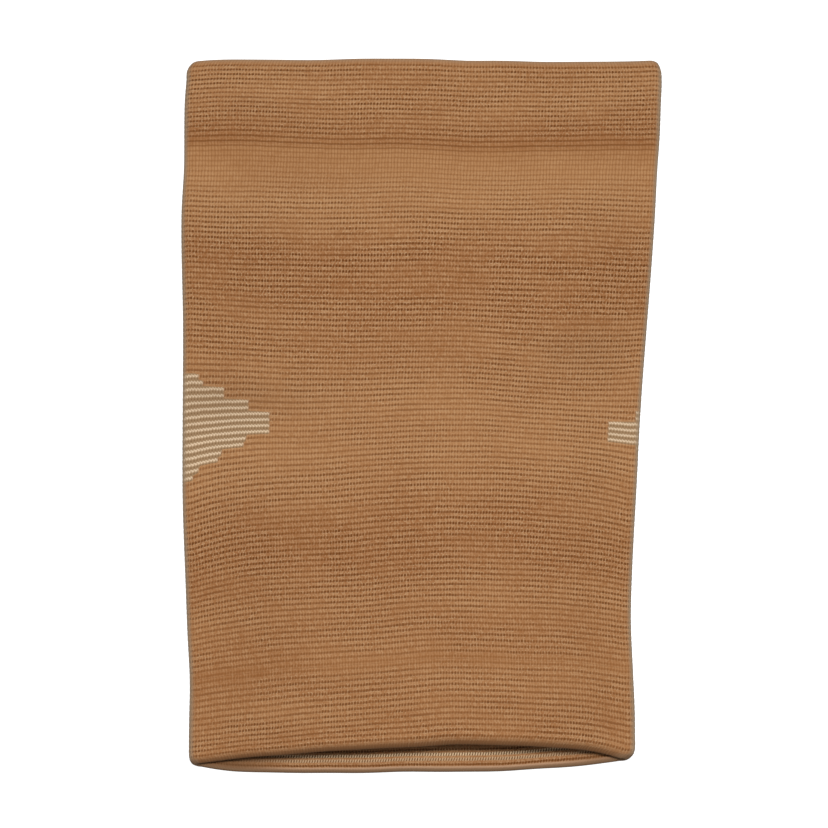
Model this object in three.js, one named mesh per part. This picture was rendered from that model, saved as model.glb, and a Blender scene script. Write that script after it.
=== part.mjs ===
// A knitted elastic knee support, lying flat on its back wall with the thigh end towards +Y.
// Millimetres, +Z up. The tube is hollow from end to end, and its calf mouth stands a little open.
import * as THREE from "three";

// Driving dimensions
const TUBE_WALL = 1.8; // ribbed elastic knit
const CUFF_WALL = 2.2; // turned double welt
const FOLD_SPACE = 1.6; // clear height inside a side fold
const PIECE_GAP = 0.3; // between neighbouring pieces
const FRONT_LENGTH = 251.3; // calf hem to thigh hem, up the middle of the front wall
const LOWER_CUFF_END = 29.8; // from the calf hem
const UPPER_CUFF_START = 216.8; // from the calf hem
const HALF_WIDTH = 78; // of the flat tube at the diamonds, where girths are measured
const HEM_ROUNDING = 0.4; // share of the cuff wall that a hem is rounded over
const HEM_FACE = [0.28, 0.72]; // depths in the wall between which a hem is blunt
const CROWN_LEAN = 0.15; // how far the front wall's crown sits to the right of the middle
const COURSE_PEAK = 0.2; // where the front courses run highest, from the middle to the right fold
const ARCH_POWER = 1.2; // a course comes down nearly evenly on its way to a fold
const BEND_POWER = 7; // and bends further close to the fold
const BACK_POWER = 4; // on the back wall it comes down soon after the fold

// Stations along the support, measured up the front from the calf hem. left and right are the side
// folds, and rise is the front wall's crown above them.
const OUTLINE = [
  { at: 0, left: -76.3, right: 69.2, rise: 8.4 },
  { at: 2, left: -77.2, right: 70.9, rise: 9.3 },
  { at: 4, left: -77.5, right: 71.4, rise: 9.5 },
  { at: 8, left: -77.6, right: 71.5, rise: 9.0 },
  { at: 16, left: -77.7, right: 71.6, rise: 7.9 },
  { at: 30, left: -77.8, right: 71.3, rise: 7.0 },
  { at: 48, left: -79.0, right: 71.0, rise: 6.9 },
  { at: 66, left: -80.0, right: 71.8, rise: 5.8 },
  { at: 98, left: -81.8, right: 74.1, rise: 8.2 },
  { at: 120, left: -82.4, right: 75.8, rise: 6.8 },
  { at: 148, left: -83.0, right: 78.5, rise: 5.4 },
  { at: 190, left: -84.5, right: 82.5, rise: 8.8 },
  { at: 209, left: -84.0, right: 83.9, rise: 6.6 },
  { at: 221, left: -84.2, right: 85.0, rise: 5.4 },
  { at: 235, left: -84.3, right: 85.8, rise: 5.2 },
  { at: 244.3, left: -83.9, right: 86.3, rise: 5.4 },
  { at: 248.3, left: -83.7, right: 86.1, rise: 5.5 },
  { at: 251.3, left: -82.0, right: 85.0, rise: 5.6 },
];

// How far the course at a station comes down: an arch and a bend on the way to either fold, and
// backDrop more in the middle of the back wall.
const COURSE_LINES = [
  { at: 0, leftArch: 3.2, leftBend: 0.8, rightArch: -0.6, rightBend: 2.7, backDrop: 2.8 },
  { at: 12, leftArch: 5.7, leftBend: 0.2, rightArch: -0.2, rightBend: 2.0, backDrop: 3.6 },
  { at: 32, leftArch: 4.0, leftBend: 1.6, rightArch: -0.5, rightBend: 1.6, backDrop: 3.6 },
  { at: 80, leftArch: 3.6, leftBend: 3.4, rightArch: -0.3, rightBend: 2.8, backDrop: 3.3 },
  { at: 100, leftArch: 2.3, leftBend: 2.9, rightArch: -0.6, rightBend: 3.0, backDrop: 3.1 },
  { at: 116, leftArch: 0.0, leftBend: 1.4, rightArch: 0.0, rightBend: 1.0, backDrop: 3.0 },
  { at: 132, leftArch: -3.0, leftBend: -0.3, rightArch: 0.3, rightBend: -1.2, backDrop: 2.9 },
  { at: 165, leftArch: -4.4, leftBend: -0.4, rightArch: -1.8, rightBend: 0.3, backDrop: 2.7 },
  { at: 190, leftArch: -4.8, leftBend: 0.0, rightArch: -3.6, rightBend: 0.9, backDrop: 2.5 },
  { at: 222, leftArch: -6.0, leftBend: 1.6, rightArch: -3.7, rightBend: 0.5, backDrop: 2.5 },
  { at: 251.3, leftArch: -4.1, leftBend: 1.8, rightArch: -2.3, rightBend: -0.1, backDrop: 2.5 },
];

const TUBE_COURSES = 96; // knitted rows between the cuffs
const LEFT_DIAMOND_COURSE = 44; // its middle, counted from the calf cuff
const RIGHT_DIAMOND_COURSE = 43;
const RIGHT_DIAMOND_BEHIND = 20; // from the right fold round to the middle of its diamond

// Bands of a stepped side diamond, from its lower point up, with their half widths left and right
const DIAMOND_BANDS = [
  { courses: 2, left: 7.6, right: 7 },
  { courses: 2, left: 15.4, right: 14.6 },
  { courses: 2, left: 23.8, right: 22.6 },
  { courses: 4, left: 31.8, right: 32.8 },
  { courses: 2, left: 24.6, right: 23.6 },
  { courses: 2, left: 16.2, right: 15.6 },
  { courses: 2, left: 9, right: 8.4 },
];

// Fineness of the faceted walls
const FOLD_STEPS = 6;
const COLUMN_SPACING = 13;
const ROW_SPACING = 10;
const CORNER_RUNS = [2, 4, 8]; // from a hem, where rows follow its rounded corners
const LEAST_SPACING = 1; // a wanted column this near a fold's own is left to the fold

// Derived sizes. Girths run from the left fold over the front wall to the right fold and on round
// the back wall.
const COURSE_HEIGHT = (UPPER_CUFF_START - LOWER_CUFF_END) / TUBE_COURSES;
const FOLD_RADIUS = TUBE_WALL + FOLD_SPACE / 2;
const FLAT_RUN = 2 * (HALF_WIDTH - FOLD_RADIUS);
const FOLD_RUN = Math.PI * FOLD_RADIUS;
const GIRTH = 2 * (FLAT_RUN + FOLD_RUN);
const LEFT_FOLD = 0;
const RIGHT_FOLD = GIRTH / 2;
const UP = Math.PI / 2;

// A smooth curve through the rows of a table, by their place along the support
function curveThrough(table) {
  const keys = Object.keys(table[0]).filter((key) => key !== "at");
  const curve = new THREE.CubicInterpolant(
    table.map((row) => row.at),
    table.flatMap((row) => keys.map((key) => row[key])),
    keys.length,
  );
  return (at) => {
    const values = curve.evaluate(at);
    return Object.fromEntries(keys.map((key, k) => [key, values[k]]));
  };
}

const outlineAt = curveThrough(OUTLINE);
const courseLineAt = curveThrough(COURSE_LINES);

// Where a girth lies: across is -1 at the left fold and 1 at the right, turn is the way the wall faces
function columnAt(girth) {
  let run = (girth + FOLD_RUN / 2 + GIRTH) % GIRTH;
  if (run < FOLD_RUN) return { across: -1, turn: -UP - (Math.PI * run) / FOLD_RUN, front: false };
  run -= FOLD_RUN;
  if (run < FLAT_RUN) return { across: -1 + (2 * run) / FLAT_RUN, turn: UP, front: true };
  run -= FLAT_RUN;
  if (run < FOLD_RUN) return { across: 1, turn: UP - (Math.PI * run) / FOLD_RUN, front: false };
  run -= FOLD_RUN;
  return { across: 1 - (2 * run) / FLAT_RUN, turn: -UP, front: false };
}

function crown(across) {
  const leaning = across - CROWN_LEAN * (1 - across ** 2);
  return (1 - leaning ** 4) ** 2;
}

// How far a course has come down at this column
function fall(column, line) {
  const { across } = column;
  if (!column.front) {
    const leftDrop = line.leftArch + line.leftBend;
    const rightDrop = line.rightArch + line.rightBend;
    const level = (leftDrop * (1 - across) + rightDrop * (1 + across)) / 2;
    return level + line.backDrop * (1 - across ** BACK_POWER);
  }
  const fromPeak = across - COURSE_PEAK;
  if (fromPeak < 0) {
    const way = -fromPeak / (1 + COURSE_PEAK);
    return line.leftArch * way ** ARCH_POWER + line.leftBend * way ** BEND_POWER;
  }
  const way = fromPeak / (1 - COURSE_PEAK);
  return line.rightArch * way ** ARCH_POWER + line.rightBend * way ** BEND_POWER;
}

// A point of the wall, depth below its outer face
function wallPoint(girth, at, depth, wall) {
  const column = columnAt(girth);
  const { left, right, rise } = outlineAt(at);
  const foldRadius = wall + FOLD_SPACE / 2;
  const reach = (right - left) / 2 - foldRadius;
  const lift = column.front ? rise * crown(column.across) : 0;
  return new THREE.Vector3(
    (left + right) / 2 + column.across * reach + (foldRadius - depth) * Math.cos(column.turn),
    at - fall(column, courseLineAt(at)),
    foldRadius + lift + (foldRadius - depth) * Math.sin(column.turn),
  );
}

// The places in order, with even steps of at most spacing put between them
function filled(places, spacing) {
  const inOrder = [...places].sort((a, b) => a - b);
  return inOrder.flatMap((place, i) => {
    const next = inOrder[i + 1];
    if (next === undefined) return [place];
    const steps = Math.max(1, Math.ceil((next - place) / spacing));
    return Array.from({ length: steps }, (_, k) => place + ((next - place) * k) / steps);
  });
}

// A side diamond: its middle round the girth, the half width of each of its bands, and the rows of
// the bands' edges
function diamond(middle, middleCourse, side) {
  const courses = DIAMOND_BANDS.reduce((sum, band) => sum + band.courses, 0);
  const rows = [LOWER_CUFF_END + (middleCourse - courses / 2) * COURSE_HEIGHT];
  for (const band of DIAMOND_BANDS) rows.push(rows.at(-1) + band.courses * COURSE_HEIGHT);
  return { middle, halfWidths: DIAMOND_BANDS.map((band) => band[side]), rows };
}

const leftDiamond = diamond(LEFT_FOLD, LEFT_DIAMOND_COURSE, "left");
const rightDiamond = diamond(RIGHT_FOLD + RIGHT_DIAMOND_BEHIND, RIGHT_DIAMOND_COURSE, "right");

function makeColumns() {
  const foldColumns = [LEFT_FOLD, RIGHT_FOLD].flatMap((fold) =>
    Array.from({ length: FOLD_STEPS + 1 }, (_, k) => fold + FOLD_RUN * (k / FOLD_STEPS - 0.5)),
  );
  const diamondEdges = [leftDiamond, rightDiamond].flatMap(({ middle, halfWidths }) =>
    halfWidths.flatMap((half) => [middle - half, middle + half]),
  );
  const lowest = -FOLD_RUN / 2;
  const wrapped = diamondEdges.map((edge) => (edge < lowest ? edge + GIRTH : edge));
  const free = wrapped.filter((edge) => foldColumns.every((fold) => Math.abs(edge - fold) > LEAST_SPACING));
  const roundAgain = lowest + GIRTH;
  return filled([...foldColumns, ...free, roundAgain], COLUMN_SPACING).slice(0, -1);
}

const columns = makeColumns();

function inDiamond({ middle, halfWidths, rows }, girth, at) {
  const band = halfWidths.findIndex((_, b) => at > rows[b] && at < rows[b + 1]);
  if (band < 0) return false;
  const away = Math.abs(girth - middle) % GIRTH;
  return Math.min(away, GIRTH - away) < halfWidths[band];
}

const inLeftDiamond = (girth, at) => inDiamond(leftDiamond, girth, at);
const inRightDiamond = (girth, at) => inDiamond(rightDiamond, girth, at);

// A closed piece of the wall: the cells between rows and columns whose middle is in the piece.
// Its edges against other cells stand back by half of the gap.
function wallPiece(name, { rows, wall, belongs, colour, roughness }) {
  const columnCount = columns.length;
  const cellIn = (i, j) => {
    const left = columns[(j + columnCount) % columnCount];
    const right = columns[(j + 1) % columnCount];
    const width = (right - left + GIRTH) % GIRTH;
    return belongs(left + width / 2, (rows[i].at + rows[i + 1].at) / 2);
  };
  const positions = [];
  const indices = [];
  const made = new Map();

  // Sums the ways from a corner to the cells round it that are in the piece, if any is not
  const standBack = (i, j) => {
    const around = [-1, 0].flatMap((di) => [-1, 0].map((dj) => [i + di, j + dj]));
    const real = around.filter(([ci]) => ci >= 0 && ci < rows.length - 1);
    const inside = real.filter(([ci, cj]) => cellIn(ci, cj));
    if (inside.length === real.length) return [0, 0];
    const along = inside.reduce((sum, [ci]) => sum + (ci < i ? -1 : 1), 0);
    const round = inside.reduce((sum, [, cj]) => sum + (cj < j ? -1 : 1), 0);
    return [Math.sign(along), Math.sign(round)];
  };
  const corner = (i, j, face) => {
    const key = `${i},${j % columnCount},${face}`;
    if (!made.has(key)) {
      const [along, round] = standBack(i, j % columnCount);
      const girth = columns[j % columnCount] + (round * PIECE_GAP) / 2;
      const at = rows[i].at + (along * PIECE_GAP) / 2;
      made.set(key, positions.length / 3);
      positions.push(...wallPoint(girth, at, rows[i][face] * wall, wall).toArray());
    }
    return made.get(key);
  };
  const quad = (a, b, c, d) => indices.push(a, b, c, a, c, d);
  const rim = ([i, j], [k, l]) =>
    quad(corner(k, l, "outer"), corner(i, j, "outer"), corner(i, j, "inner"), corner(k, l, "inner"));

  for (let i = 0; i < rows.length - 1; i++) {
    for (let j = 0; j < columnCount; j++) {
      if (!cellIn(i, j)) continue;
      const loop = [[i, j], [i, j + 1], [i + 1, j + 1], [i + 1, j]];
      quad(...loop.map(([r, c]) => corner(r, c, "outer")));
      quad(...[...loop].reverse().map(([r, c]) => corner(r, c, "inner")));
      if (i === 0 || !cellIn(i - 1, j)) rim(loop[0], loop[1]);
      if (!cellIn(i, j + 1)) rim(loop[1], loop[2]);
      if (i === rows.length - 2 || !cellIn(i + 1, j)) rim(loop[2], loop[3]);
      if (!cellIn(i, j - 1)) rim(loop[3], loop[0]);
    }
  }
  const geometry = new THREE.BufferGeometry();
  geometry.setAttribute("position", new THREE.Float32BufferAttribute(positions, 3));
  geometry.setIndex(indices);
  geometry.computeVertexNormals();
  const material = new THREE.MeshStandardMaterial({ color: colour, roughness, metalness: 0 });
  const mesh = new THREE.Mesh(geometry, material);
  mesh.name = name;
  return mesh;
}

const fullWall = (at) => ({ at, outer: 0, inner: 1 });
const hem = (at) => ({ at, outer: HEM_FACE[0], inner: HEM_FACE[1] });
const everywhere = () => true;
const hemRun = HEM_ROUNDING * CUFF_WALL;
const halfGap = PIECE_GAP / 2;

const upperCorners = CORNER_RUNS.map((run) => FRONT_LENGTH - run);

const lowerCuffRows = [
  hem(0),
  ...filled([hemRun, ...CORNER_RUNS, LOWER_CUFF_END - halfGap], ROW_SPACING).map(fullWall),
];
const upperCuffRows = [
  ...filled([UPPER_CUFF_START + halfGap, ...upperCorners, FRONT_LENGTH - hemRun], ROW_SPACING).map(fullWall),
  hem(FRONT_LENGTH),
];
const courseEdges = [...leftDiamond.rows, ...rightDiamond.rows].filter(
  (row, k, all) => all.findIndex((other) => Math.abs(other - row) < COURSE_HEIGHT / 2) === k,
);
const tubeRows = filled(
  [LOWER_CUFF_END + halfGap, ...courseEdges, UPPER_CUFF_START - halfGap],
  ROW_SPACING,
).map(fullWall);

const tan = 0xa87a50;
const cuffTan = 0xa2744b;
const ivory = 0xd8bd98;

const support = new THREE.Group();
support.add(
  wallPiece("knit_tube", {
    rows: tubeRows,
    wall: TUBE_WALL,
    belongs: (girth, at) => !inLeftDiamond(girth, at) && !inRightDiamond(girth, at),
    colour: tan,
    roughness: 0.9,
  }),
  wallPiece("upper_cuff", {
    rows: upperCuffRows,
    wall: CUFF_WALL,
    belongs: everywhere,
    colour: cuffTan,
    roughness: 0.9,
  }),
  wallPiece("lower_cuff", {
    rows: lowerCuffRows,
    wall: CUFF_WALL,
    belongs: everywhere,
    colour: cuffTan,
    roughness: 0.9,
  }),
  wallPiece("left_diamond", {
    rows: tubeRows,
    wall: TUBE_WALL,
    belongs: inLeftDiamond,
    colour: ivory,
    roughness: 0.85,
  }),
  wallPiece("right_diamond", {
    rows: tubeRows,
    wall: TUBE_WALL,
    belongs: inRightDiamond,
    colour: ivory,
    roughness: 0.85,
  }),
);

// The origin is under the middle of the support, on the surface that it lies on
const middle = new THREE.Box3().setFromObject(support).getCenter(new THREE.Vector3());
support.position.set(-middle.x, -middle.y, 0);

export default support;
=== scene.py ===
import math

import bmesh
import bpy
import numpy as np
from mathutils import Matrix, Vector


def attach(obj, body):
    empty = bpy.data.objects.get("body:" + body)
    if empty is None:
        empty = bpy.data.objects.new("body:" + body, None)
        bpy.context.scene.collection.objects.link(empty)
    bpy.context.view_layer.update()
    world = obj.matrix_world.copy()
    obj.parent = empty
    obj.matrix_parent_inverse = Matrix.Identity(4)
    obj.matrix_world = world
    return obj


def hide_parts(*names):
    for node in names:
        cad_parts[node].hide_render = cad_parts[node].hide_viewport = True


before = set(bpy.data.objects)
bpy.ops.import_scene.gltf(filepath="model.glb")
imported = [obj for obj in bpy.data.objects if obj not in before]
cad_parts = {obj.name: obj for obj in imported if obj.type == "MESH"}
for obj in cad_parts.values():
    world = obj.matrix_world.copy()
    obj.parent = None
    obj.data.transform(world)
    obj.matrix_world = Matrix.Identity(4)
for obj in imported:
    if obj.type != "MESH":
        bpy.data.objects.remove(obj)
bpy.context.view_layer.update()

mm = 0.001

# The flattened tube that every knitted piece is laid on, in millimetres, as in the CAD walls
supportForm = {
    "tubeWall": 1.8,
    "cuffWall": 2.2,
    "foldSpace": 1.6,  # clear height inside a side fold
    "halfWidth": 78,  # of the flat tube, where girths are measured
    "lowerCuffEnd": 29.8,
    "upperCuffStart": 216.8,
    "frontLength": 251.3,
    "weltBlend": 8,  # run over which the cuffs thicken
    "crownLean": 0.15,
    "crownPowers": (4, 2),  # how flat the crown is in the middle, and how softly it meets the folds
    "coursePeak": 0.2,  # where the front courses run highest, from the middle to the right fold
    "archPower": 1.2,
    "bendPower": 7,
    "backPower": 4,
    "shift": (-0.901, -123.966),  # brings the middle of the box over the origin
}
# Side folds, and the crown of the front wall above them
outlineNames = ("at", "left", "right", "rise")
outlineRows = [
    (0, -76.3, 69.2, 8.4),
    (2, -77.2, 70.9, 9.3),
    (4, -77.5, 71.4, 9.5),
    (8, -77.6, 71.5, 9.0),
    (16, -77.7, 71.6, 7.9),
    (30, -77.8, 71.3, 7.0),
    (48, -79.0, 71.0, 6.9),
    (66, -80.0, 71.8, 5.8),
    (98, -81.8, 74.1, 8.2),
    (120, -82.4, 75.8, 6.8),
    (148, -83.0, 78.5, 5.4),
    (190, -84.5, 82.5, 8.8),
    (209, -84.0, 83.9, 6.6),
    (221, -84.2, 85.0, 5.4),
    (235, -84.3, 85.8, 5.2),
    (244.3, -83.9, 86.3, 5.4),
    (248.3, -83.7, 86.1, 5.5),
    (251.3, -82.0, 85.0, 5.6),
]
# How far a course comes down towards either fold, and in the middle of the back wall
courseLineNames = ("at", "leftArch", "leftBend", "rightArch", "rightBend", "backDrop")
courseLineRows = [
    (0, 3.2, 0.8, -0.6, 2.7, 2.8),
    (12, 5.7, 0.2, -0.2, 2.0, 3.6),
    (32, 4.0, 1.6, -0.5, 1.6, 3.6),
    (80, 3.6, 3.4, -0.3, 2.8, 3.3),
    (100, 2.3, 2.9, -0.6, 3.0, 3.1),
    (116, 0.0, 1.4, 0.0, 1.0, 3.0),
    (132, -3.0, -0.3, 0.3, -1.2, 2.9),
    (165, -4.4, -0.4, -1.8, 0.3, 2.7),
    (190, -4.8, 0.0, -3.6, 0.9, 2.5),
    (222, -6.0, 1.6, -3.7, 0.5, 2.5),
    (251.3, -4.1, 1.8, -2.3, -0.1, 2.5),
]
foldRadius = supportForm["tubeWall"] + supportForm["foldSpace"] / 2
flatRun = 2 * (supportForm["halfWidth"] - foldRadius)
foldRun = math.pi * foldRadius
girthRound = 2 * (flatRun + foldRun)
leftFold, rightFold = 0.0, girthRound / 2


def smoothStep(low, high, value):
    t = np.clip((value - low) / (high - low), 0, 1)
    return t * t * (3 - 2 * t)


def curveThrough(names, rows):
    # a cubic through the rows of a table, as the CAD interpolates them
    table = np.array(rows, dtype=float)
    knots, last = table[:, 0], len(table) - 1

    def valuesAt(at):
        i = np.clip(np.searchsorted(knots, at, side="right"), 1, last)
        before = np.where(i > 1, i - 2, i)
        after = np.where(i < last, i + 1, i - 1)
        span = knots[i] - knots[i - 1]
        p = ((at - knots[i - 1]) / span)[:, None]
        wBefore = (0.5 * span / (knots[i - 1] - knots[before]))[:, None]
        wAfter = (0.5 * span / (knots[after] - knots[i]))[:, None]
        values = (
            (-wBefore * p**3 + 2 * wBefore * p**2 - wBefore * p) * table[before]
            + ((1 + wBefore) * p**3 - (1.5 + 2 * wBefore) * p**2 + (wBefore - 0.5) * p + 1) * table[i - 1]
            + (-(1 + wAfter) * p**3 + (1.5 + wAfter) * p**2 + 0.5 * p) * table[i]
            + (wAfter * p**3 - wAfter * p**2) * table[after]
        )
        return {name: values[:, k] for k, name in enumerate(names)}

    return valuesAt


outlineAt = curveThrough(outlineNames, outlineRows)
courseLineAt = curveThrough(courseLineNames, courseLineRows)


def columnsAt(girth):
    # across is -1 at the left fold and 1 at the right, turn is the way the wall faces
    run = np.mod(girth + foldRun / 2, girthRound)
    front = run - foldRun
    right = front - flatRun
    back = right - foldRun
    where = [run < foldRun, front < flatRun, right < foldRun]
    across = np.select(
        where,
        [-1 + 0 * run, -1 + 2 * front / flatRun, 1 + 0 * run],
        1 - 2 * back / flatRun,
    )
    up = math.pi / 2
    turn = np.select(
        where,
        [-up - math.pi * run / foldRun, up + 0 * run, up - math.pi * right / foldRun],
        -up,
    )
    return across, turn, ~where[0] & where[1]


def wallAt(at):
    low, high, blend = (supportForm[key] for key in ("lowerCuffEnd", "upperCuffStart", "weltBlend"))
    welt = smoothStep(low, low - blend, at) + smoothStep(high, high + blend, at)
    return supportForm["tubeWall"] + (supportForm["cuffWall"] - supportForm["tubeWall"]) * welt


# The slack of the cloth: courses wave and wander a little, and the front wall is not quite even.
# Each row of wander and lumps is turns round the girth, radians for a millimetre along, start, height.
slack = {
    "waveTurns": 4,
    "waveAt": (0, 126, 251.3),
    "waveHeight": (0.3, 0.74, 0.65),
    "waveStart": (0.36, 0.68, 1.35),
    "backWave": 0.2,  # share of the wave that is left in the middle of the back wall
    "wander": [(7, 0.047, 0.2, 0.12), (13, 0.09, 2.2, 0.06)],
    "lumps": [(3, 0.11, 0.6, 0.16), (5, -0.07, 2.0, 0.14), (9, 0.16, 4.0, 0.07)],
}


def waves(rows, girth, at):
    around = 2 * math.pi * girth / girthRound
    return sum(height * np.sin(turns * around + along * at + start) for turns, along, start, height in rows)


def courseWave(girth, at, across, front):
    height = np.interp(at, slack["waveAt"], slack["waveHeight"])
    start = np.interp(at, slack["waveAt"], slack["waveStart"])
    left = slack["backWave"]
    height = height * np.where(front, 1, left + (1 - left) * across**2)
    return height * np.sin(slack["waveTurns"] * 2 * math.pi * girth / girthRound + start)


def courseFall(across, front, line):
    # how far below its peak a course runs, on the front wall and on the back one
    peak = supportForm["coursePeak"]
    ways = {
        "left": np.clip((peak - across) / (1 + peak), 0, 1),
        "right": np.clip((across - peak) / (1 - peak), 0, 1),
    }
    onFront = 0
    for side, way in ways.items():
        arch = line[side + "Arch"] * way ** supportForm["archPower"]
        bend = line[side + "Bend"] * way ** supportForm["bendPower"]
        onFront = onFront + arch + bend
    leftDrop = line["leftArch"] + line["leftBend"]
    rightDrop = line["rightArch"] + line["rightBend"]
    level = (leftDrop * (1 - across) + rightDrop * (1 + across)) / 2
    onBack = level + line["backDrop"] * (1 - across ** supportForm["backPower"])
    return np.where(front, onFront, onBack)


def wallPoints(girth, at, depth):
    across, turn, front = columnsAt(girth)
    outline = outlineAt(at)
    radius = wallAt(at) + supportForm["foldSpace"] / 2
    reach = (outline["right"] - outline["left"]) / 2 - radius
    leaning = across - supportForm["crownLean"] * (1 - across**2)
    flatPower, softPower = supportForm["crownPowers"]
    rise = outline["rise"] * (1 - leaning**flatPower) ** softPower
    rise = rise + waves(slack["lumps"], girth, at) * (1 - across**2)
    x = (outline["left"] + outline["right"]) / 2 + across * reach + (radius - depth) * np.cos(turn)
    y = at - courseFall(across, front, courseLineAt(at)) + waves(slack["wander"], girth, at)
    y = y + courseWave(girth, at, across, front)
    z = radius + np.where(front, rise, 0) + (radius - depth) * np.sin(turn)
    points = np.stack([x + supportForm["shift"][0], y + supportForm["shift"][1], z], axis=1)
    return points * mm


# The knit itself: courses across, wales along
knit = {
    "wale": 1.035,
    "ribDepth": 0.28,
    "innerRibDepth": 0.2,
    "foldRibs": 0.35,  # share of a rib's depth that is left where the cloth is stretched round a fold
    "phases": (0, 0.22, 0.4, 0.5, 0.6, 0.78),  # rows of a course, ridge at 0 and groove at 0.5
    "tubeCourses": 96,
    "columnSpacing": 4.4,
    "leastSpacing": 0.25,  # of a diamond's column from a fold's
    "foldSteps": 8,
    "hemSteps": 8,
}
# Along the support: how deep the ribs are, how clearly their stitch holes show, how dark their grooves
# are drawn as plain lines, which is painted shade, and the yarn's tone, whose broad lighter and darker bands
# along the tube are painted shade of the front wall's gentle waves
zoneNames = ("at", "depth", "holes", "lines", "tone")
zoneRows = [
    (0, 0, 0.6, 0, 0.3),
    (1.2, 0, 0.6, 0, 0.3),
    (2.2, 0.9, 0.95, 0, 0.28),
    (20, 1, 0.82, 0, 0.45),
    (27, 0.8, 0.75, 0, 0.38),
    (29, 0.35, 0.4, 0, 0.32),
    (31, 0.35, 0.4, 0, 0.32),
    (33, 0.9, 0.85, 0, 0.34),
    (50, 1, 0.88, 0, 0.46),
    (73, 1, 1.04, 0, 0.06),
    (106, 1, 0.76, 0, 0.8),
    (150, 1, 0.96, 0, 0.38),
    (173, 1, 1.15, 0, 0.12),
    (195, 0.9, 0.8, 0, 0.8),
    (201, 0.5, 0.5, 0, 0.8),
    (208, 0.25, 0.15, 0, 0.8),
    (215, 0.25, 0.05, 0.2, 0.75),
    (217, 0.9, 0.15, 0.7, 0.4),
    (219.5, 1.1, 0.4, 0.55, 0.25),
    (222.5, 1, 0.9, 0.2, 0.25),
    (228, 1, 1, 0, 0.4),
    (238, 1, 1, 0, 0.6),
    (248.3, 1, 1, 0, 0.45),
    (249.6, 0, 0, 0, 0.45),
    (251.3, 0, 0, 0, 0.45),
]
zones = {name: np.array([row[k] for row in zoneRows]) for k, name in enumerate(zoneNames)}
# The inner face near the calf hem: a plain groove darkened as painted shade, then ivory yarn that shows in
# two grooves
insideZones = {
    "at": (0, 2.1, 2.5, 2.8, 3.3, 3.7, 4.0, 5.5, 5.9, 7.4, 7.9, 30),
    "lines": (0, 0, 0.65, 0.65, 0, 0, 0, 0, 0, 0, 0, 0),
    "beads": (0, 0, 0, 0, 0, 0, 0.6, 0.6, 1, 1, 0.1, 0.1),
}
# Greyed folds and thigh hem, which is painted shade where the cloth turns away. The calf hem is a taupe
# roll, shaded outside, with a pale line inside that is a painted highlight.
rimForm = {
    "turnFrom": 0.28,
    "hemReach": 2.6,
    "hemShare": 0.6,
    "rollGrey": 0.7,
    "rollShade": (1.1, 0.93, 0.7),  # depth in the wall where the shade starts and is full, and how full
    "leastShade": 0.3,
    "faceShade": (3.2, 0.6, 0.55),  # run from the hem where it starts and is full, and how full
    # the pale line inside the calf hem is a painted highlight on the roll
    "paleRun": 1.7,
    # inside the mouth, towards its corners: where the shade starts and is full, and how full
    "leftCorner": (0.5, 0.85, 0.75),
    "rightCorner": (0.65, 0.95, 0.45),
    "cornerOnHem": 0.85,
    "cornerOnPale": 0.8,
    # painted shade, as of soft hollows in the front wall beside the diamonds: place along and across, reach
    # either way, how full
    "hollowShades": [(123.5, -0.82, 6.5, 0.36, 0.2), (142, 0.74, 8, 0.2, 0.17)],
}
diamondForm = {
    "bandCourses": (2, 2, 2, 4, 2, 2, 2),  # from the lower point up
    "middleCourse": {"left": 44, "right": 43},
    "halfWidths": {
        "left": (7.6, 15.4, 23.8, 31.8, 24.6, 16.2, 9),
        "right": (7, 14.6, 22.6, 32.8, 23.6, 15.6, 8.4),
    },
    "flatHeight": 31.2,
    "rightBehind": 20,  # from the right fold round to the middle of its diamond
    "endFade": 0.9,  # run over which the ivory rows thin out at their ends
    "shortRows": {0: 2.0, 2: 1.2, 4: 0.8, 15: 1.5},  # courses from the lower point, and how short
    "yarnWidth": 0.5,  # of the ivory strand, from the groove towards the ridge
    "tanHeight": 0.45,  # of the tan ridge beside it
    "tanRise": (0.4, 0.9),
    "edgeSlip": 0.01,  # keeps rows on a band's edge in the band above
}
tubeForm = {"firstCourse": 14, "innerPhases": (0,)}
tubeCourse = (supportForm["upperCuffStart"] - supportForm["lowerCuffEnd"]) / knit["tubeCourses"]
diamondCourses = sum(diamondForm["bandCourses"])


def makeDiamond(side, middle):
    # where its bands lie along the tube and round it
    first = diamondForm["middleCourse"][side] - diamondCourses // 2
    counts = first + np.concatenate([[0], np.cumsum(diamondForm["bandCourses"])])
    return {
        "middle": middle,
        "first": first,
        "halves": np.array(diamondForm["halfWidths"][side]),
        "edges": supportForm["lowerCuffEnd"] + counts * tubeCourse,
    }


leftDiamond = makeDiamond("left", leftFold)
rightDiamond = makeDiamond("right", rightFold + diamondForm["rightBehind"])


def diamondInset(diamond, girth, at):
    # how far inside the band's end a point is, negative outside the diamond
    halves = diamond["halves"]
    band = np.searchsorted(diamond["edges"], at) - 1
    inside = (band >= 0) & (band < len(halves))
    away = np.abs(np.mod(girth - diamond["middle"] + girthRound / 2, girthRound) - girthRound / 2)
    return np.where(inside, halves[np.clip(band, 0, len(halves) - 1)] - away, -1.0)


def rowShortfall(diamond, course):
    # some rows end short of their band
    firstCourse = tubeForm["firstCourse"] + diamond["first"]
    count = np.floor(course + diamondForm["edgeSlip"]) - firstCourse
    short = np.zeros(len(course))
    for row, run in diamondForm["shortRows"].items():
        short[count == row] = run
    return short


def filled(places, spacing):
    # the places in order, with even steps between them
    places = sorted(places)
    steps = []
    for here, after in zip(places, places[1:]):
        count = max(1, math.ceil((after - here) / spacing))
        steps += [here + (after - here) * k / count for k in range(count)]
    return steps + places[-1:]


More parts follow.
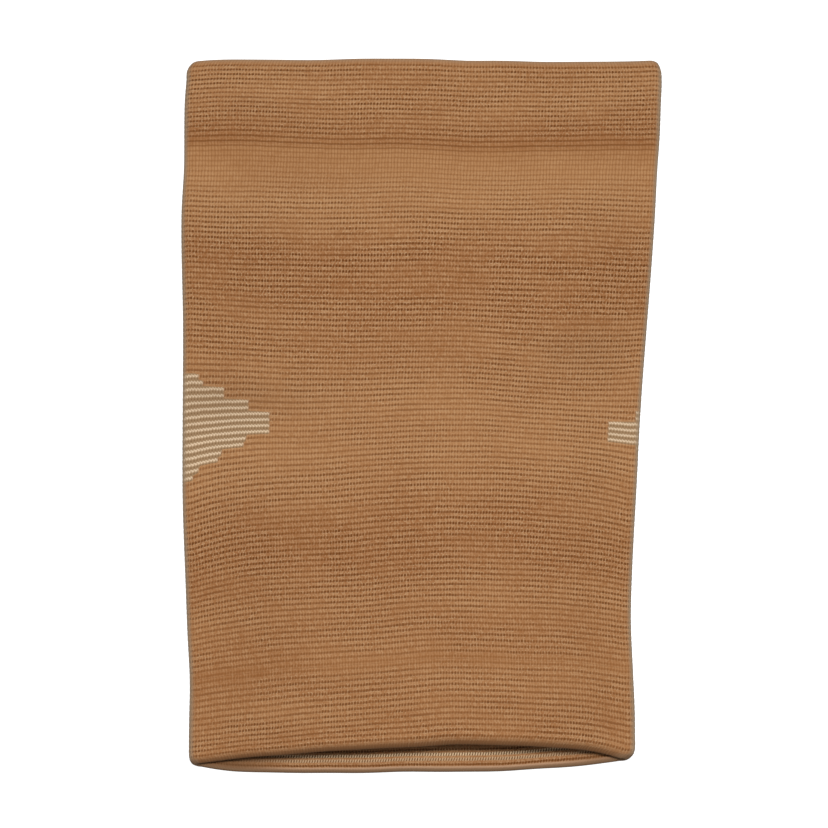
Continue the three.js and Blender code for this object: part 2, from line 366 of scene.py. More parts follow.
def knitColumns():
    start = -foldRun / 2
    steps = knit["foldSteps"]
    folds = []
    for fold in (leftFold, rightFold):
        folds += [fold + foldRun * (k / steps - 0.5) for k in range(steps + 1)]
    edges = []
    for diamond in (leftDiamond, rightDiamond):
        for half in diamond["halves"]:
            for end in (half, half - diamondForm["endFade"]):
                edges += [diamond["middle"] - end, diamond["middle"] + end]
    edges = [edge + girthRound if edge < start else edge for edge in edges]
    edges = [edge for edge in edges if all(abs(edge - fold) > knit["leastSpacing"] for fold in folds)]
    return np.array(filled(folds + edges + [start + girthRound], knit["columnSpacing"]))


columns = knitColumns()  # the last is the first again, once round


def courseRows(start, end, courses, firstCourse, skin, phases=knit["phases"]):
    # one dictionary for each row of vertices, from start to end
    pitch = (end - start) / courses
    rows = [
        {"at": start + (k + phase) * pitch, "course": firstCourse + k + phase, "skin": skin}
        for k in range(courses)
        for phase in phases
    ]
    return rows + [{"at": end, "course": firstCourse + courses, "skin": skin}]


def hemRows(hemAt, inward, course):
    # half round from the outer face to the inner one
    radius, steps = supportForm["cuffWall"] / 2, knit["hemSteps"]
    rows = []
    for k in range(1, steps):
        angle = math.pi * k / steps
        rows.append(
            {
                "at": hemAt + inward * radius * (1 - math.sin(angle)),
                "course": course,
                "skin": "hem",
                "depth": radius * (1 - math.cos(angle)),
            }
        )
    return rows


def grooveToRidge(course):
    return np.abs(np.mod(course, 1) - 0.5) * 2


def ridge(course):
    return np.sqrt(np.clip(1 - (1 - grooveToRidge(course)) ** 2, 0, 1))


def inlaidRidge(course):
    # the ivory strand fills the groove, and the tan ridge beside it is low
    way = grooveToRidge(course)
    yarn = np.sqrt(np.clip(1 - (way / diamondForm["yarnWidth"]) ** 2, 0, 1))
    return np.maximum(yarn, diamondForm["tanHeight"] * smoothStep(*diamondForm["tanRise"], way))


def cornerShade(across, onBack):
    shade = 0
    for key, side in (("leftCorner", -1), ("rightCorner", 1)):
        start, full, dark = rimForm[key]
        shade = shade + dark * smoothStep(start, full, side * across) * onBack
    return shade


def hollowShade(across, at, front):
    shade = 0
    for place, side, along, aside, full in rimForm["hollowShades"]:
        away = ((at - place) / along) ** 2 + ((across - side) / aside) ** 2
        shade = shade + full * np.exp(-away) * front
    return shade


def yarnMasks(girth, at, skin, depth):
    # what the materials read at each vertex
    across, turn, front = columnsAt(girth)
    inner, hem = skin == "inner", skin == "hem"
    calf = at < supportForm["lowerCuffEnd"]
    corner = cornerShade(across, calf & ~front)

    masks = {key: np.interp(at, zones["at"], zones[key]) for key in ("holes", "lines", "tone")}
    for key, elsewhere in (("lines", masks["lines"]), ("beads", 0)):
        within = np.interp(at, insideZones["at"], insideZones[key]) * (1 - corner)
        masks[key] = np.where(inner, within, elsewhere)

    # painted shade: greyed where the wall turns away round the folds and at the thigh hem
    foldRim = smoothStep(rimForm["turnFrom"], 1, np.abs(np.cos(turn)))
    fromTop = supportForm["frontLength"] - at
    hemRim = rimForm["hemShare"] * smoothStep(rimForm["hemReach"], 0, fromTop)
    hemRim = np.where(hem & calf & ~front, rimForm["rollGrey"], hemRim)
    masks["rim"] = np.maximum(foldRim, hemRim)

    start, full, dark = rimForm["rollShade"]
    rollShade = dark * smoothStep(start, full, depth / supportForm["cuffWall"])
    rollShade = np.maximum(rimForm["leastShade"], rollShade) * calf
    rollShade = np.maximum(rollShade, rimForm["cornerOnHem"] * corner)
    start, full, dark = rimForm["faceShade"]
    faceShade = dark * smoothStep(start, full, at) + hollowShade(across, at, front)
    masks["dim"] = np.select([inner, hem], [corner, rollShade], faceShade)
    # painted highlight along the inner edge of the calf hem, less towards the shaded corners
    masks["pale"] = (inner & (at < rimForm["paleRun"])) * (1 - rimForm["cornerOnPale"] * corner)
    return masks


# Each piece's share of its baked picture
bakeForm = {"innerShare": 0.22, "leastStep": 0.25, "margin": 0.004}


def inMargin(share):
    return share * (1 - 2 * bakeForm["margin"]) + bakeForm["margin"]


def bakeRows(rowAt, skins):
    # most of the picture is for the outer face
    step = np.maximum(np.abs(np.roll(rowAt, -1) - rowAt), bakeForm["leastStep"])
    inner = np.array(skins) == "inner"
    step = step * np.where(inner | np.roll(inner, -1), bakeForm["innerShare"], 1)
    return inMargin(np.concatenate([[0], np.cumsum(step)]) / step.sum())


def ribbedWall(rows, girth, wrapped, diamond):
    # the place of every vertex on the wall, and its masks
    at, course = (np.array([row[key] for row in rows])[wrapped] for key in ("at", "course"))
    skin = np.array([row["skin"] for row in rows])[wrapped]
    hemDepth = np.array([row.get("depth", 0) for row in rows])[wrapped]
    atFold = np.abs(np.cos(columnsAt(girth)[1]))
    strength = np.interp(at, zones["at"], zones["depth"]) * (1 - (1 - knit["foldRibs"]) * atFold)
    inset = np.full(len(at), -1.0)
    if diamond is not None:
        inset = diamondInset(diamond, girth, at + diamondForm["edgeSlip"]) - rowShortfall(diamond, course)
    ivory = smoothStep(0, diamondForm["endFade"], inset)
    height = ridge(course) * (1 - ivory) + inlaidRidge(course) * ivory
    ribs = (1 - height) * strength
    depth = np.select(
        [skin == "outer", skin == "inner"],
        [knit["ribDepth"] * ribs, wallAt(at) - knit["innerRibDepth"] * ribs],
        hemDepth,
    )
    masks = yarnMasks(girth, at, skin, depth)
    masks["inset"] = inset
    masks["inside"] = np.select([skin == "outer", skin == "inner"], [0.0, 1.0], 0.5)
    return wallPoints(girth, at, depth), masks


def closeRims(bm, inside, uvMaps):
    # joins the outer and inner edges of each cut-out, left and right
    openEdges = [e for e in bm.edges if e.is_boundary]
    for side in (-1, 1):
        rim = [e for e in openEdges if (e.verts[0].co.x + e.verts[1].co.x) * side > 0]
        if not rim:
            continue
        for edge in rim:
            edge.smooth = False
        made = bmesh.ops.bridge_loops(bm, edges=rim)["faces"]
        fresh = set(made)
        for face in made:
            for loop in face.loops:
                source = loop
                if loop.vert[inside] > 0.5:
                    after, before = loop.link_loop_next, loop.link_loop_prev
                    source = after if after.vert[inside] < 0.5 else before
                known = next((k for k in source.vert.link_loops if k.face not in fresh), None)
                if known:
                    for uvMap in uvMaps:
                        loop[uvMap].uv = known[uvMap].uv


def knitPiece(name, rows, keep, diamond=None):
    # a flat grid, one cell for each step of columns and rows, is wrapped round as a closed wall
    columnCount, rowCount = len(columns) - 1, len(rows)
    bm = bmesh.new()
    bmesh.ops.create_grid(bm, x_segments=columnCount, y_segments=rowCount, size=0.5)
    flat = np.array([v.co[:] for v in bm.verts])
    col = np.rint((flat[:, 0] + 0.5) * columnCount).astype(int)
    row = np.rint((flat[:, 1] + 0.5) * rowCount).astype(int)
    rowAt = np.array([r["at"] for r in rows])
    skins = [r["skin"] for r in rows]

    knitUv = bm.loops.layers.uv.new("knitUV")
    bakeUv = bm.loops.layers.uv.new("OFBake")
    colBake, rowBake = inMargin((columns - columns[0]) / girthRound), bakeRows(rowAt, skins)
    bm.verts.index_update()
    for face in bm.faces:
        for loop in face.loops:
            i, j = col[loop.vert.index], row[loop.vert.index]
            loop[knitUv].uv = (columns[i] / knit["wale"], rows[j % rowCount]["course"])
            loop[bakeUv].uv = (colBake[i], rowBake[j])

    # which cells are cut away, and which rows are the sharp edge of an end face
    drop = []
    for face in bm.faces:
        middle = face.calc_center_median()
        i = min(int((middle.x + 0.5) * columnCount), columnCount - 1)
        j = min(int((middle.y + 0.5) * rowCount), rowCount - 1)
        after = (j + 1) % rowCount
        isEnd = skins[j] != skins[after]
        if not keep((columns[i] + columns[i + 1]) / 2, (rowAt[j] + rowAt[after]) / 2, isEnd):
            drop.append(face)
        elif isEnd and "hem" not in (skins[j], skins[after]):
            for edge in face.edges:
                if row[edge.verts[0].index] == row[edge.verts[1].index]:
                    edge.smooth = False

    places, masks = ribbedWall(rows, columns[col], row % rowCount, diamond)
    layers = {key: bm.verts.layers.float.new(key) for key in masks}
    for k, vert in enumerate(bm.verts):
        vert.co = places[k]
        for key, layer in layers.items():
            vert[layer] = masks[key][k]

    bmesh.ops.delete(bm, geom=drop, context="FACES")
    bmesh.ops.remove_doubles(bm, verts=bm.verts, dist=mm * mm)
    closeRims(bm, layers["inside"], (knitUv, bakeUv))
    bmesh.ops.recalc_face_normals(bm, faces=bm.faces)
    for face in bm.faces:
        face.smooth = True
    mesh = bpy.data.meshes.new(name)
    bm.to_mesh(mesh)
    bm.free()
    piece = bpy.data.objects.new(name, mesh)
    bpy.context.scene.collection.objects.link(piece)
    print(name, len(mesh.polygons), "faces")
    return piece


def tubeRows():
    # behind the diamonds the inner rows match the outer ones
    low, high = supportForm["lowerCuffEnd"], supportForm["upperCuffStart"]
    courses, start, plain = knit["tubeCourses"], tubeForm["firstCourse"], tubeForm["innerPhases"]
    first = min(leftDiamond["first"], rightDiamond["first"])
    last = max(leftDiamond["first"], rightDiamond["first"]) + diamondCourses
    lower, upper = low + first * tubeCourse, low + last * tubeCourse
    outer = courseRows(low, high, courses, start, "outer")
    below = courseRows(low, lower, first, start, "inner", plain)
    behind = courseRows(lower, upper, last - first, start + first, "inner")
    above = courseRows(upper, high, courses - last, start + last, "inner", plain)
    return outer + (below[:-1] + behind[:-1] + above)[::-1]


def inTube(girth, at, isEnd):
    if isEnd:
        return True
    return diamondInset(leftDiamond, girth, at) < 0 and diamondInset(rightDiamond, girth, at) < 0


def everywhere(girth, at, isEnd):
    return True


def diamondPiece(name, diamond):
    def inDiamond(girth, at, isEnd):
        return not isEnd and diamondInset(diamond, girth, at) > 0

    first = tubeForm["firstCourse"] + diamond["first"]
    lower, upper = diamond["edges"][0], diamond["edges"][-1]
    outer = courseRows(lower, upper, diamondCourses, first, "outer")
    inner = courseRows(lower, upper, diamondCourses, first, "inner")
    return knitPiece(name, outer + inner[::-1], inDiamond, diamond)


# Near the hem the inner courses of a cuff are as fine as the outer ones
lowerCuffForm = {"roll": 1.6, "courses": 14, "finePart": 6, "innerPhases": (0, 0.5)}
upperCuffForm = {"roll": 1.8, "courses": 17, "finePart": 4, "innerPhases": (0, 0.5)}


def lowerCuffRows():
    roll, courses, fine = (lowerCuffForm[key] for key in ("roll", "courses", "finePart"))
    end = supportForm["lowerCuffEnd"]
    split = roll + (end - roll) * fine / courses
    outer = courseRows(roll, end, courses, 0, "outer")
    innerNear = courseRows(roll, split, fine, 0, "inner")
    innerFar = courseRows(split, end, courses - fine, fine, "inner", lowerCuffForm["innerPhases"])
    hem = hemRows(0, 1, -0.5)
    return outer + (innerNear[:-1] + innerFar)[::-1] + hem[::-1]


def upperCuffRows():
    roll, courses, fine = (upperCuffForm[key] for key in ("roll", "courses", "finePart"))
    start, end = supportForm["upperCuffStart"], supportForm["frontLength"] - roll
    first = tubeForm["firstCourse"] + knit["tubeCourses"]
    split = end - (end - start) * fine / courses
    outer = courseRows(start, end, courses, first, "outer")
    innerFar = courseRows(start, split, courses - fine, first, "inner", upperCuffForm["innerPhases"])
    innerNear = courseRows(split, end, fine, first + courses - fine, "inner")
    hem = hemRows(supportForm["frontLength"], -1, first + courses + 0.5)
    return outer + hem + (innerFar[:-1] + innerNear)[::-1]


tubeKnit = knitPiece("tubeKnit", tubeRows(), inTube)
leftDiamondKnit = diamondPiece("leftDiamondKnit", leftDiamond)
rightDiamondKnit = diamondPiece("rightDiamondKnit", rightDiamond)
lowerCuffKnit = knitPiece("lowerCuffKnit", lowerCuffRows(), everywhere)
upperCuffKnit = knitPiece("upperCuffKnit", upperCuffRows(), everywhere)
print("knitted pieces made")


# Materials
def nodeTools(tree):
    def put(target, value):
        if isinstance(value, bpy.types.NodeSocket):
            tree.links.new(value, target)
        else:
            target.default_value = value

    def calc(operation, *values):
        node = tree.nodes.new("ShaderNodeMath")
        node.operation = operation
        for socket, value in zip(node.inputs, values):
            put(socket, value)
        return node.outputs[0]

    def fade(value, low, high, toLow=0.0, toHigh=1.0):
        node = tree.nodes.new("ShaderNodeMapRange")
        node.interpolation_type = "SMOOTHSTEP"
        given = (value, low, high, toLow, toHigh)
        for key, item in zip(("Value", "From Min", "From Max", "To Min", "To Max"), given):
            put(node.inputs[key], item)
        return node.outputs["Result"]

    def noise(vector, scale, detail=2.0, roughness=0.5):
        node = tree.nodes.new("ShaderNodeTexNoise")
        node.noise_dimensions = "2D"
        put(node.inputs["Vector"], vector)
        node.inputs["Scale"].default_value = scale
        node.inputs["Detail"].default_value = detail
        node.inputs["Roughness"].default_value = roughness
        return node.outputs

    def blend(factor, a, b):
        node = tree.nodes.new("ShaderNodeMix")
        node.data_type = "RGBA"
        put(node.inputs[0], factor)
        put(node.inputs[6], a if isinstance(a, bpy.types.NodeSocket) else (*a, 1))
        put(node.inputs[7], b if isinstance(b, bpy.types.NodeSocket) else (*b, 1))
        return node.outputs[2]

    return put, calc, fade, noise, blend


# One stitch is a wale wide and a course tall, with its hole in the groove and a leaning strand on the ridge.
# Each edge is a pair: where a fade starts, and where it is full. Each noise is scale, detail, roughness.
stitchForm = {
    "strayNoise": (0.33,),
    "stray": (0.5, 0.2),  # wales and courses
    "hole": (0.62, 0.52),  # half width and half height, in half stitches
    "holeEdge": (1.5, 0.3),
    "leastHole": 0.5,
    "holeDepth": -0.9,
    "grooveEdge": (0.55, 0.08),
    "patchStretch": 0.25,  # patches where holes are crisp, long across the wales
    "patchNoise": (0.16, 3.0),
    "patchEdge": (0.36, 0.58),
    "faint": 0.55,
    "runStretch": 0.12,  # runs where holes merge into a line
    "runNoise": (0.5, 1.0),
    "runEdge": (0.58, 0.72),
    "merged": 0.4,
    "lean": 0.9,
    "strandEdge": (0.85, 0.15),
    "strandEnd": (0.48, 0.2),
    "strandLight": (0.1, 0.45),  # the least, and how much more it may be
    "strandAlone": 0.3,  # share that shows where there are no holes
    "strandHeight": 0.45,
    "loopOuter": (4.2, 2.2),
    "loopInner": (0.9, 2.0),
    "glintNoise": (1.9, 2.0, 0.6),
    "glintEdge": (0.4, 0.68),
    "fuzzNoise": (2.7, 3.0, 0.7),
    "fuzzHeight": 0.3,
}


def makeStitchGroup():
    group = bpy.data.node_groups.new("knitStitch", "ShaderNodeTree")
    for name in ("Wale", "Course", "Holes"):
        group.interface.new_socket(name, in_out="INPUT", socket_type="NodeSocketFloat")
    resultNames = ("Hole", "Groove", "Strand", "Across", "Along", "Random", "Height")
    for name in resultNames:
        group.interface.new_socket(name, in_out="OUTPUT", socket_type="NodeSocketFloat")
    put, calc, fade, noise = nodeTools(group)[:4]
    given = group.nodes.new("NodeGroupInput").outputs
    result = group.nodes.new("NodeGroupOutput").inputs
    form = stitchForm

    def together(x, y):
        node = group.nodes.new("ShaderNodeCombineXYZ")
        put(node.inputs[0], x)
        put(node.inputs[1], y)
        return node.outputs[0]

    def stretched(stretch):
        return together(calc("MULTIPLY", given["Wale"], stretch), given["Course"])

    def fromMiddle(value):
        return calc("MULTIPLY", calc("ABSOLUTE", calc("SUBTRACT", value, 0.5)), 2.0)

    def cellRandom(x, y):
        cell = group.nodes.new("ShaderNodeTexWhiteNoise")
        cell.noise_dimensions = "2D"
        put(cell.inputs["Vector"], together(calc("FLOOR", x), calc("FLOOR", y)))
        return cell.outputs["Value"]

    place = together(given["Wale"], given["Course"])
    strayNode = group.nodes.new("ShaderNodeSeparateColor")
    put(strayNode.inputs[0], noise(place, *form["strayNoise"])["Color"])
    strayed = []
    for key, channel, reach in zip(("Wale", "Course"), (0, 1), form["stray"]):
        stray = calc("MULTIPLY", calc("SUBTRACT", strayNode.outputs[channel], 0.5), reach)
        strayed.append(calc("ADD", given[key], stray))
    wale, course = strayed
    across, along = calc("FRACT", wale), calc("FRACT", course)
    fromHole, fromGroove = fromMiddle(across), fromMiddle(along)

    # holes, crisp in some patches and faint in others, that here and there run into a line
    patch = noise(stretched(form["patchStretch"]), *form["patchNoise"])["Fac"]
    crisp = fade(patch, *form["patchEdge"], form["faint"], 1.0)
    run = noise(stretched(form["runStretch"]), *form["runNoise"])["Fac"]
    merge = fade(run, *form["runEdge"], 0.0, form["merged"])
    wide = calc("POWER", calc("DIVIDE", fromHole, form["hole"][0]), 2.0)
    tall = calc("POWER", calc("DIVIDE", fromGroove, form["hole"][1]), 2.0)
    fromDot = calc("ADD", wide, tall)
    random = cellRandom(wale, course)
    varied = calc("MULTIPLY_ADD", random, 1 - form["leastHole"], form["leastHole"])
    dot = calc("MULTIPLY", fade(fromDot, *form["holeEdge"]), varied)
    groove = fade(fromGroove, *form["grooveEdge"])
    hole = calc("MAXIMUM", calc("MULTIPLY", dot, crisp), calc("MULTIPLY", groove, merge))
    hole = calc("MULTIPLY", hole, given["Holes"])

    # strands of yarn that lean over the ridge between the holes, lighter in colour as a painted highlight
    fromRidge = calc("SUBTRACT", calc("FRACT", calc("ADD", along, 0.5)), 0.5)
    leaning = calc("ADD", wale, calc("MULTIPLY_ADD", fromRidge, form["lean"], 0.5))
    strand = fade(fromMiddle(calc("FRACT", leaning)), *form["strandEdge"])
    strand = calc("MULTIPLY", strand, fade(calc("ABSOLUTE", fromRidge), *form["strandEnd"]))
    # random strength of the painted highlight, strand by strand
    highlightRandom = cellRandom(leaning, calc("ADD", course, 0.5))
    least, more = form["strandLight"]
    strand = calc("MULTIPLY", strand, calc("MULTIPLY_ADD", highlightRandom, more, least))

    # and a painted highlight on the loop of yarn round each hole, in patches
    loop = calc("MULTIPLY", fade(fromDot, *form["loopOuter"]), fade(fromDot, *form["loopInner"]))
    lit = fade(noise(place, *form["glintNoise"])["Fac"], *form["glintEdge"])
    glint = calc("MULTIPLY", calc("MULTIPLY", loop, crisp), lit)
    strand = calc("MAXIMUM", strand, glint)
    shown = calc("MULTIPLY_ADD", given["Holes"], 1 - form["strandAlone"], form["strandAlone"])
    strand = calc("MULTIPLY", strand, shown)

    fuzz = noise(place, *form["fuzzNoise"])["Fac"]
    raised = calc("MULTIPLY", strand, form["strandHeight"])
    height = calc("MULTIPLY_ADD", hole, form["holeDepth"], raised)
    height = calc("ADD", height, calc("MULTIPLY", fuzz, form["fuzzHeight"]))
    for name, value in zip(resultNames, (hole, groove, strand, across, along, random, height)):
        put(result[name], value)
    return group


stitchGroup = makeStitchGroup()

tanYarn = {
    "light": (0.378, 0.186, 0.076),
    "mid": (0.254, 0.099, 0.031),
    # colour of the strands' painted highlight
    "strand": (0.58, 0.37, 0.205),
    "strandLight": 0.72,
    # the dark of the holes, partly painted shade inside them, and of the grooves, painted shade
    "hole": (0.125, 0.038, 0.006),
    "holeDark": 0.95,
    "lineDark": 0.7,
    "groove": (0.20, 0.078, 0.022),
    "grooveDark": 0.25,
    "waleDark": 0.55,
    "waleEdge": (0.2, 0.04),
    "streak": (0.2, 1, 1),
    "cloudNoise": (0.12, 3.0),
    "cloudEdge": (0.3, 0.7),
    "cloudTone": 0.12,  # up or down, as for the stitch's own tone
    "stitchTone": 0.1,
    # painted shade of the folds and the thigh hem, and the calf hem's taupe roll
    "rim": (0.36, 0.26, 0.17),
    "rimGrey": 0.92,
    # painted highlight inside the calf hem
    "pale": (0.44, 0.275, 0.175),
    "paleLight": 0.9,
    "dim": (0.125, 0.060, 0.026),
    "roughness": 0.92,
    "sheen": 0.05,
    "sheenRoughness": 0.5,
    "sheenTint": (0.85, 0.65, 0.45),
    "gloss": 0.1,
    "bump": 0.6,
    "bumpDepth": 0.3,
}
ivoryYarn = {
    # lit and shaded colours of the ivory strand, painted highlight and shade on its turns
    "light": (0.66, 0.50, 0.338),
    "mid": (0.46, 0.322, 0.203),
    "twist": 2.0,
    "twistEdge": (0.1, 0.75),
    "zigzag": 0.36,
    "strandEdge": (0.25, 0.13),
    "ground": (0.30, 0.19, 0.101),
    "groundDot": (0.19, 0.108, 0.052),
    "dotRow": (0.36, 0.46),
    "dotEdge": (0.32, 0.14),
}
mouthBeads = {
    "colour": (0.67, 0.48, 0.295),
    "gap": (0.155, 0.082, 0.036),
    "perWale": 1.12,
    "lean": 0.5,
    "rowEdge": (0.4, 0.2),
    "edge": (0.38, 0.16),
}


def tanColour(tree, uv, stitch, attribute, holes, fromHole):
    put, calc, fade, noise, blend = nodeTools(tree)
    yarn = tanYarn
    # streaky along the courses, and a little different from stitch to stitch
    streak = tree.nodes.new("ShaderNodeVectorMath")
    streak.operation = "MULTIPLY"
    put(streak.inputs[0], uv)
    streak.inputs[1].default_value = yarn["streak"]
    cloud = noise(streak.outputs[0], *yarn["cloudNoise"])["Fac"]
    cloudy = fade(cloud, *yarn["cloudEdge"], -yarn["cloudTone"], yarn["cloudTone"])
    own = calc("MULTIPLY_ADD", stitch["Random"], 2 * yarn["stitchTone"], -yarn["stitchTone"])
    # the yarn's tone with its broad bands of painted shade, a cloudy random tone, and each stitch's own tone
    tone = calc("ADD", calc("ADD", attribute("tone"), cloudy), own)
    tone = calc("MINIMUM", calc("MAXIMUM", tone, 0.0), 1.0)
    colour = blend(tone, yarn["mid"], yarn["light"])
    colour = blend(calc("MULTIPLY", stitch["Strand"], yarn["strandLight"]), colour, yarn["strand"])
    # painted shade in the grooves, and partly in the holes
    colour = blend(calc("MULTIPLY", stitch["Groove"], yarn["grooveDark"]), colour, yarn["groove"])
    colour = blend(calc("MULTIPLY", stitch["Hole"], yarn["holeDark"]), colour, yarn["hole"])

    # plain grooves beside the thigh cuff darkened as painted shade, and wales that show where the holes are
    # drawn shut
    plainLine = calc("MULTIPLY", stitch["Groove"], attribute("lines"))
    colour = blend(calc("MULTIPLY", plainLine, yarn["lineDark"]), colour, yarn["hole"])
    waleLine = calc("MULTIPLY", fade(fromHole, *yarn["waleEdge"]), calc("SUBTRACT", 1.0, holes))
    return blend(calc("MULTIPLY", waleLine, yarn["waleDark"]), colour, yarn["groove"])


def ivoryColour(tree, stitch, fromHole, fromGroove):
    # rows of the diamonds, a twisted strand in each groove over a taupe ground; the strand's light and dark
    # turns are painted highlight and shade
    _, calc, fade, _, blend = nodeTools(tree)
    yarn = ivoryYarn
    twist = calc("FRACT", calc("MULTIPLY_ADD", fromGroove, yarn["twist"], stitch["Across"]))
    twist = calc("MULTIPLY", calc("ABSOLUTE", calc("SUBTRACT", twist, 0.5)), 2.0)
    zigzag = calc("MULTIPLY", calc("SUBTRACT", fromHole, 0.25), yarn["zigzag"])
    fromStrand = calc("ABSOLUTE", calc("ADD", fromGroove, zigzag))
    strand = blend(fade(twist, *yarn["twistEdge"]), yarn["mid"], yarn["light"])
    dot = calc("MULTIPLY", fade(fromStrand, *yarn["dotRow"]), fade(fromHole, *yarn["dotEdge"]))
    ground = blend(dot, yarn["ground"], yarn["groundDot"])
    return blend(fade(fromStrand, *yarn["strandEdge"]), ground, strand)


def beadedRows(tree, colour, wale, attribute, fromGroove):
    # ivory beads inside the calf mouth, finer than the wales
    _, calc, fade, _, blend = nodeTools(tree)
    lean = calc("MULTIPLY", fromGroove, mouthBeads["lean"])
    across = calc("FRACT", calc("MULTIPLY_ADD", wale, mouthBeads["perWale"], lean))
    across = calc("ABSOLUTE", calc("SUBTRACT", across, 0.5))
    inRow = fade(calc("ABSOLUTE", fromGroove), *mouthBeads["rowEdge"])
    beads = blend(fade(across, *mouthBeads["edge"]), mouthBeads["gap"], mouthBeads["colour"])
    return blend(calc("MULTIPLY", inRow, attribute("beads")), colour, beads)


def knitMaterial(name):
    material = bpy.data.materials.new(name)
    material.use_nodes = True
    tree = material.node_tree
    put, calc, fade, _, blend = nodeTools(tree)
    shader = tree.nodes["Principled BSDF"]
    uvNode = tree.nodes.new("ShaderNodeUVMap")
    uvNode.uv_map = "knitUV"
    uv = uvNode.outputs[0]
    split = tree.nodes.new("ShaderNodeSeparateXYZ")
    put(split.inputs[0], uv)
    wale, course = split.outputs[0], split.outputs[1]

    def attribute(key):
        node = tree.nodes.new("ShaderNodeAttribute")
        node.attribute_name = key
        return node.outputs["Fac"]

    holes = attribute("holes")
    stitchNode = tree.nodes.new("ShaderNodeGroup")
    stitchNode.node_tree = stitchGroup
    for key, value in (("Wale", wale), ("Course", course), ("Holes", holes)):
        put(stitchNode.inputs[key], value)
    stitch = stitchNode.outputs
    fromGroove = calc("SUBTRACT", stitch["Along"], 0.5)
    fromHole = calc("ABSOLUTE", calc("SUBTRACT", stitch["Across"], 0.5))

    colour = tanColour(tree, uv, stitch, attribute, holes, fromHole)
    inDiamond = fade(attribute("inset"), 0.0, diamondForm["endFade"])
    colour = blend(inDiamond, colour, ivoryColour(tree, stitch, fromHole, fromGroove))
    colour = beadedRows(tree, colour, wale, attribute, fromGroove)

    # greyed folds and thigh hem, painted shade, the pale line inside the calf hem, a painted highlight, and
    # painted shade
    colour = blend(calc("MULTIPLY", attribute("rim"), tanYarn["rimGrey"]), colour, tanYarn["rim"])
    colour = blend(calc("MULTIPLY", attribute("pale"), tanYarn["paleLight"]), colour, tanYarn["pale"])
    colour = blend(attribute("dim"), colour, tanYarn["dim"])
    put(shader.inputs["Base Color"], colour)
    shader.inputs["Roughness"].default_value = tanYarn["roughness"]
    shader.inputs["Sheen Weight"].default_value = tanYarn["sheen"]
    shader.inputs["Sheen Roughness"].default_value = tanYarn["sheenRoughness"]
    shader.inputs["Sheen Tint"].default_value = (*tanYarn["sheenTint"], 1)
    shader.inputs["Specular IOR Level"].default_value = tanYarn["gloss"]
    bump = tree.nodes.new("ShaderNodeBump")
    bump.inputs["Strength"].default_value = tanYarn["bump"]
    bump.inputs["Distance"].default_value = tanYarn["bumpDepth"] * mm
    put(bump.inputs["Height"], stitch["Height"])
    put(shader.inputs["Normal"], bump.outputs[0])
    return material


tanKnit = knitMaterial("tanKnit")
cuffKnit = knitMaterial("cuffKnit")
ivoryKnit = knitMaterial("ivoryKnit")

stands = [
    (tubeKnit, "knit_tube", "tan_knit", tanKnit),
    (lowerCuffKnit, "lower_cuff", "cuff_knit", cuffKnit),
    (upperCuffKnit, "upper_cuff", "cuff_knit", cuffKnit),
    (leftDiamondKnit, "left_diamond", "ivory_knit", ivoryKnit),
    (rightDiamondKnit, "right_diamond", "ivory_knit", ivoryKnit),
]
for piece, node, slot, material in stands:
    piece.data.materials.append(material)
    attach(piece, "root")
    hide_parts(node)
print("materials given")

# Floor, light and camera
studio = {
    "floorSize": 6.0,
    "floorColour": (0.35, 0.35, 0.35),
    "floorRoughness": 0.9,
    "floorGlow": 0.95,
    "floorDrop": 0.2,  # millimetres, as the target
    "white": (1, 1, 1, 1),
    "worldStrength": 0.3,
    "lampPower": 25.8,
    "lampSize": 0.3,
    "lampPlace": (0.1, -0.2, 1.65),
    "distance": 1.2,
    "elevation": 70,
    "target": (-3.316, -3.786, 4),
    "lens": 151.2,
    "sensor": 36,
}


def cameraRays(tree):
    return tree.nodes.new("ShaderNodeLightPath").outputs["Is Camera Ray"]


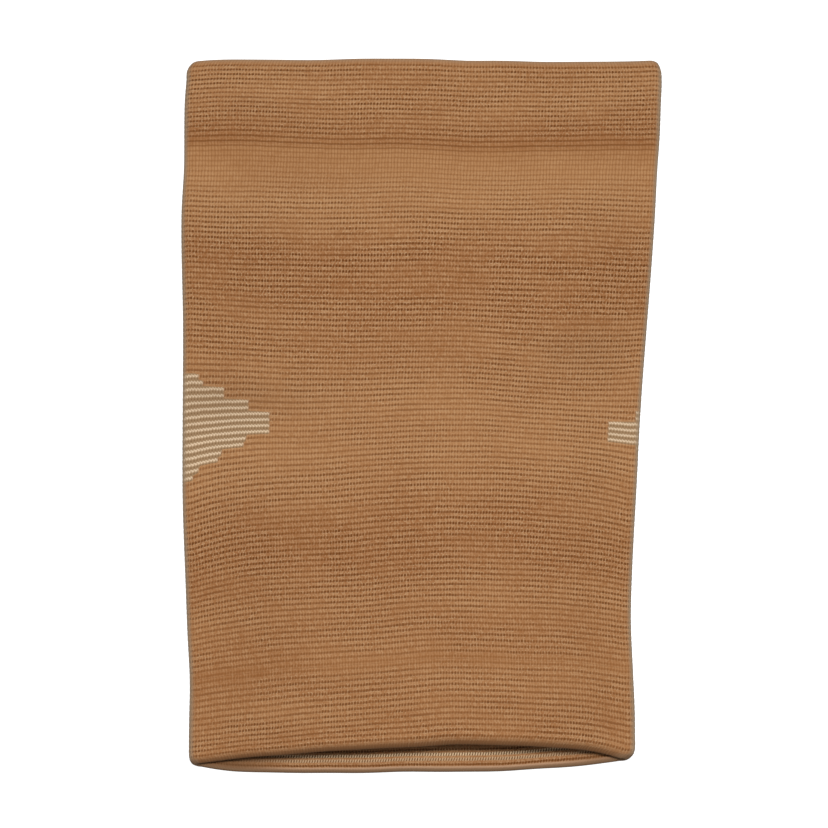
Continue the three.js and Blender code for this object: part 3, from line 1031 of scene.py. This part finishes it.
def makeFloor():
    # looks white to the camera, and throws back less light on to the support
    bm = bmesh.new()
    bmesh.ops.create_grid(bm, x_segments=1, y_segments=1, size=studio["floorSize"] / 2)
    bmesh.ops.translate(bm, verts=bm.verts, vec=(0, 0, -studio["floorDrop"] * mm))
    mesh = bpy.data.meshes.new("floor")
    bm.to_mesh(mesh)
    bm.free()
    material = bpy.data.materials.new("paleFloor")
    material.use_nodes = True
    tree = material.node_tree
    put, calc = nodeTools(tree)[:2]
    shader = tree.nodes["Principled BSDF"]
    shader.inputs["Base Color"].default_value = (*studio["floorColour"], 1)
    shader.inputs["Roughness"].default_value = studio["floorRoughness"]
    shader.inputs["Emission Color"].default_value = studio["white"]
    glow = calc("MULTIPLY", cameraRays(tree), studio["floorGlow"])
    put(shader.inputs["Emission Strength"], glow)
    mesh.materials.append(material)
    floor = bpy.data.objects.new("floor", mesh)
    bpy.context.scene.collection.objects.link(floor)
    return floor


def makeAir():
    # white to the camera, and a weak light all round
    world = bpy.data.worlds.new("studioAir")
    world.use_nodes = True
    put, calc = nodeTools(world.node_tree)[:2]
    air = world.node_tree.nodes["Background"]
    air.inputs["Color"].default_value = studio["white"]
    weak = studio["worldStrength"]
    put(air.inputs["Strength"], calc("MULTIPLY_ADD", cameraRays(world.node_tree), 1 - weak, weak))
    bpy.context.scene.world = world


def makeLamp():
    data = bpy.data.lights.new("softBox", "AREA")
    data.energy = studio["lampPower"]
    data.size = studio["lampSize"]
    lamp = bpy.data.objects.new("softBox", data)
    lamp.location = studio["lampPlace"]
    lamp.rotation_euler = (-Vector(studio["lampPlace"])).to_track_quat("-Z", "Y").to_euler()
    bpy.context.scene.collection.objects.link(lamp)


def makeCamera():
    data = bpy.data.cameras.new("camera")
    data.lens = studio["lens"]
    data.sensor_width = studio["sensor"]
    camera = bpy.data.objects.new("camera", data)
    target = Vector(studio["target"]) * mm
    tilt = math.radians(studio["elevation"])
    camera.location = target + studio["distance"] * Vector((0, -math.cos(tilt), math.sin(tilt)))
    camera.rotation_euler = (target - camera.location).to_track_quat("-Z", "Y").to_euler()
    bpy.context.scene.collection.objects.link(camera)
    bpy.context.scene.camera = camera


makeFloor()
makeAir()
makeLamp()
makeCamera()
bpy.context.scene.view_settings.view_transform = "Standard"
print("studio set")

# Flat sizes of the sheets, round the tube by along it
flatSize = {
    tubeKnit: (girthRound, supportForm["upperCuffStart"] - supportForm["lowerCuffEnd"]),
    lowerCuffKnit: (girthRound, supportForm["lowerCuffEnd"]),
    upperCuffKnit: (girthRound, supportForm["frontLength"] - supportForm["upperCuffStart"]),
    leftDiamondKnit: (2 * max(diamondForm["halfWidths"]["left"]), diamondForm["flatHeight"]),
    rightDiamondKnit: (2 * max(diamondForm["halfWidths"]["right"]), diamondForm["flatHeight"]),
}
